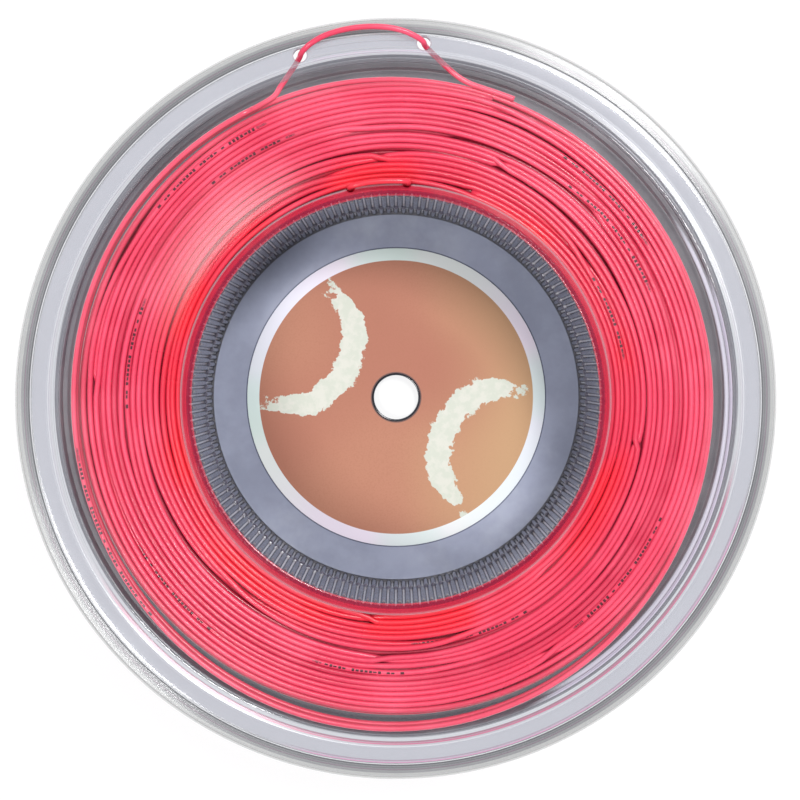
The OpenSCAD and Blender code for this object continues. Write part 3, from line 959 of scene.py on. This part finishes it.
def tied_end(name, line, rng):
    """One tied end of the string, along its middle line."""
    end = Strands()
    tone = 0.35 + 0.2 * smooth_noise(rng, len(line), 30)
    end.add(line, tone, radius=END_TUBE_R, sides=14, up=None)
    return end.build(name)


def tied_ends(rng, path):
    """The free end, which carries on from the end of the outer layer's path, and the inner end at the hub."""
    end = path[-1]
    way = end - path[-2]
    way[2] = 0
    way /= np.linalg.norm(way)
    end_r = math.hypot(end[0], end[1])
    lead = [end - 0.4 * way, end + 1.3 * way]
    tail = spline(lead + tied(TAIL, RIM_TIE, BAND_T, end_r), 6)
    start = spline(tied(START, HUB_TIE, PLATE_T, end_r), 8)
    return tied_end("string_tail_loop", tail, rng), tied_end("string_inner_end", start, rng)


# ---------------------------------------------------------------- floor, world and lamps
def floor_material(name):
    """A pale floor, mostly plain white to the camera, and a little of it to mirrored and transmitted rays."""
    n = Nodes(name)
    rays = n.new("ShaderNodeLightPath").outputs
    diffuse = n.new("ShaderNodeBsdfDiffuse", Color=(0.86, 0.86, 0.87, 1))
    white = n.new("ShaderNodeEmission", Color=(1, 1, 1, 1), Strength=1.0)
    seen = n.mix_shaders(0.80, diffuse, white)
    mirrored = n.mix_shaders(0.12, diffuse, white)
    by_clear = n.math("MAXIMUM", rays["Is Glossy Ray"], rays["Is Transmission Ray"])
    others = n.mix_shaders(by_clear, diffuse, mirrored)
    return n.surface(n.mix_shaders(rays["Is Camera Ray"], others, seen))


def pale_floor():
    """A wide floor, just under the reel."""
    grid = bmesh.new()
    bmesh.ops.create_grid(grid, x_segments=1, y_segments=1, size=30.0)
    mesh = bpy.data.meshes.new("floor")
    grid.to_mesh(mesh)
    grid.free()
    floor = linked("floor", mesh)
    floor.location.z = -0.0002
    mesh.materials.append(floor_material("pale_floor"))


def pale_world():
    """Even light from all round."""
    world = bpy.data.worlds.new("studio")
    bpy.context.scene.world = world
    world.use_nodes = True
    background = world.node_tree.nodes["Background"].inputs
    background["Color"].default_value = (0.95, 0.97, 1.0, 1)
    background["Strength"].default_value = 0.62


def softbox(name, place, power):
    """A square lamp that looks at the middle of the reel."""
    lamp = bpy.data.lights.new(name, "AREA")
    lamp.shape = "RECTANGLE"
    lamp.size = lamp.size_y = 0.42
    lamp.energy = power
    ob = linked(name, lamp)
    ob.location = place
    ob.rotation_euler = (Vector((0, 0, 0.02)) - Vector(place)).to_track_quat("-Z", "Y").to_euler()


# ---------------------------------------------------------------- what the gloss mirrors
def reflected_ring(name, inner, outer, steps, place, material):
    """A flat stage ring that shows in the flanges' gloss and nowhere else."""
    ob = lathe(name, [[inner, 0], [outer, 0], [outer, 1.0], [inner, 1.0]], steps)
    ob.location = place
    ob.data.materials.append(material)
    ob.visible_camera = ob.visible_diffuse = ob.visible_shadow = ob.visible_transmission = False


def dark_cards():
    """A dark camera and the hands that hold it, high over the reel."""
    n = Nodes("card_black")
    black = n.surface(n.new("ShaderNodeBsdfDiffuse", Color=(0.01, 0.01, 0.01, 1)))
    for name, radius, x, y in (
            ("camera_card", 97, -1, -6), ("upper_card", 40, 4, 68), ("lower_card", 36, 0, -100)):
        reflected_ring(name, 2, radius, 48, (x * MM, y * MM, 0.372), black)


def sweep_lamp():
    """A soft curved lamp high on the upper left, whose mirror image sweeps over the string."""
    n = Nodes("sweep_glow")
    n.measure()
    from_middle = n.away(n.angle(), math.radians(138))
    fade = n.times(n.minus(1.0, n.span(n.r, 106 * MM, 142 * MM)),
                   n.minus(1.0, n.span(from_middle, 0.1, 0.68)))
    glow = n.new("ShaderNodeEmission", Color=(1.0, 0.97, 0.95, 1), Strength=n.times(fade, fade, 4.4))
    reflected_ring("sweep_lamp", 96, 144, 96, (-1 * MM, -7 * MM, 0.441), n.surface(glow))


def photo_camera():
    """High over the reel, just off its axis, and tilted to look at the middle of its front."""
    x, y, z = 0.0009, 0.006, 0.371
    lens = bpy.data.cameras.new("view")
    lens.lens = 71.0
    lens.sensor_width = 36.0
    lens.sensor_fit = "HORIZONTAL"
    lens.clip_start = 0.01
    lens.clip_end = 20
    camera = linked("view", lens)
    camera.location = (x, y, z)
    camera.rotation_euler = (-math.atan2(y, z - FRONT_IN * MM), 0, 0)
    bpy.context.scene.camera = camera


# ---------------------------------------------------------------- the whole scene
front, rear = front_flange(), rear_flange()
add_piece(front, front_flange_material(), "front_flange")
add_piece(rear, rear_flange_material(), "rear_flange")

# The sleeves share one material: clear plastic painted dark grey as painted shade, with painted highlights
# and glints
shaded_hub = hub_material("hub_painted_shade")
rear_sleeve = ribbed_sleeve("hub_sleeve_rear", REAR_IN, SEAM_Z, 0, collar=(11.0, 19.0))
front_sleeve = ribbed_sleeve("hub_sleeve_front", SEAM_Z, SLEEVE_TOP, 180 / RIBS)
add_piece(rear_sleeve, shaded_hub, "rear_hub_sleeve")
add_piece(front_sleeve, shaded_hub, "front_hub_sleeve")

# The label keeps its CAD shape, and gets a material of its own
frame["nodes"]["label"].material_slots[0].material = label_material("label_film")

random_values = np.random.RandomState(5)
front_turns = front_face(random_values)
rear_turns = rear_face(random_values)
outer_turns, outer_path = outer_layer(random_values)
core = string_core()
tail_loop, inner_end = tied_ends(random_values, outer_path)
gloss_string = string_material("string_gloss")
add_piece(core, core_material("string_shade"), "winding_core")
for piece, node in (
        (front_turns, "winding_core"), (rear_turns, "winding_core"), (outer_turns, "winding_outer_layer"),
        (tail_loop, "string_tail"), (inner_end, "string_start")):
    add_piece(piece, gloss_string, node)

pale_floor()
pale_world()
softbox("key_softbox", (0.44, 0.58, 1.60), 22.0)
softbox("fill_softbox", (-0.60, -0.45, 1.50), 12.0)
dark_cards()
sweep_lamp()
photo_camera()
bpy.context.scene.view_settings.view_transform = "Standard"
